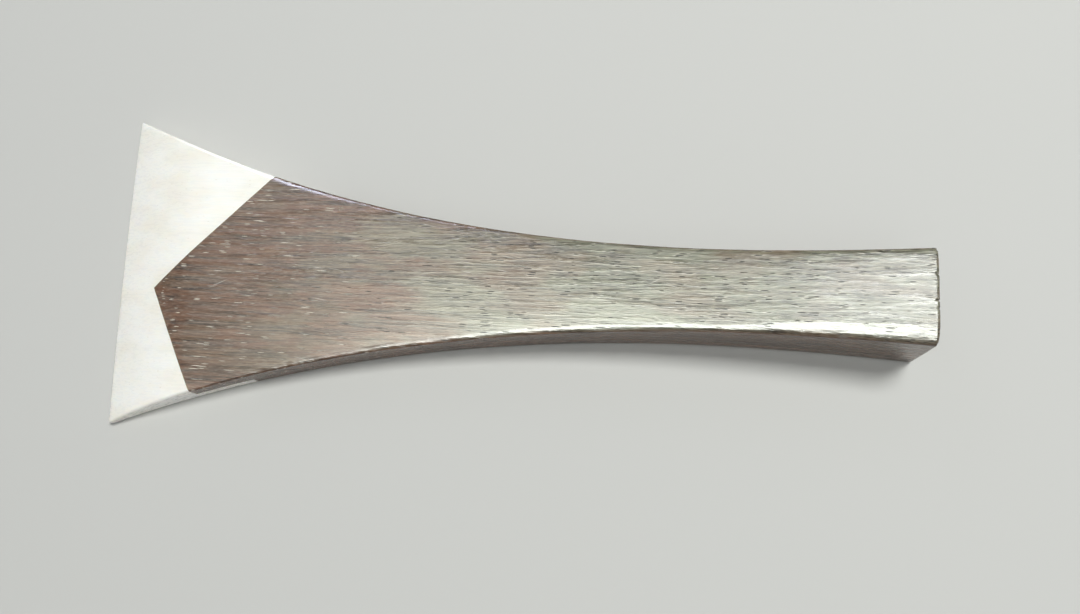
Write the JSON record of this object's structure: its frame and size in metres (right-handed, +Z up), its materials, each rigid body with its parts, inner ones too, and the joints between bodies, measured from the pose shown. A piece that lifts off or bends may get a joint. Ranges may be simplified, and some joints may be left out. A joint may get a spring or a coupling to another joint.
{
  "type": "bone folder",
  "caption": "Flared bone creasing blade half-lapped with V shoulders into a tapered, square-butted hardwood handle.",
  "frame": {"origin": "bottom centre of the whole tool, on the flat lower face that it rests on", "axes": "+X along the axis from the blade to the butt, +Z up out of the upper face, +Y to the side of the blade's longer corner"},
  "size_m": [0.2056, 0.0824, 0.0219],
  "materials": {
    "polished_bone": "bleached bone, scraped and polished",
    "hide_glue": "thin dark glue line, scraped flush",
    "oiled_hardwood": "dense dark hardwood, planed, oiled and worn smooth"
  },
  "bodies": {
    "root": {"bone_blade": "polished_bone", "glue_line": "hide_glue", "wood_handle": "oiled_hardwood"}
  },
  "joints": []
}
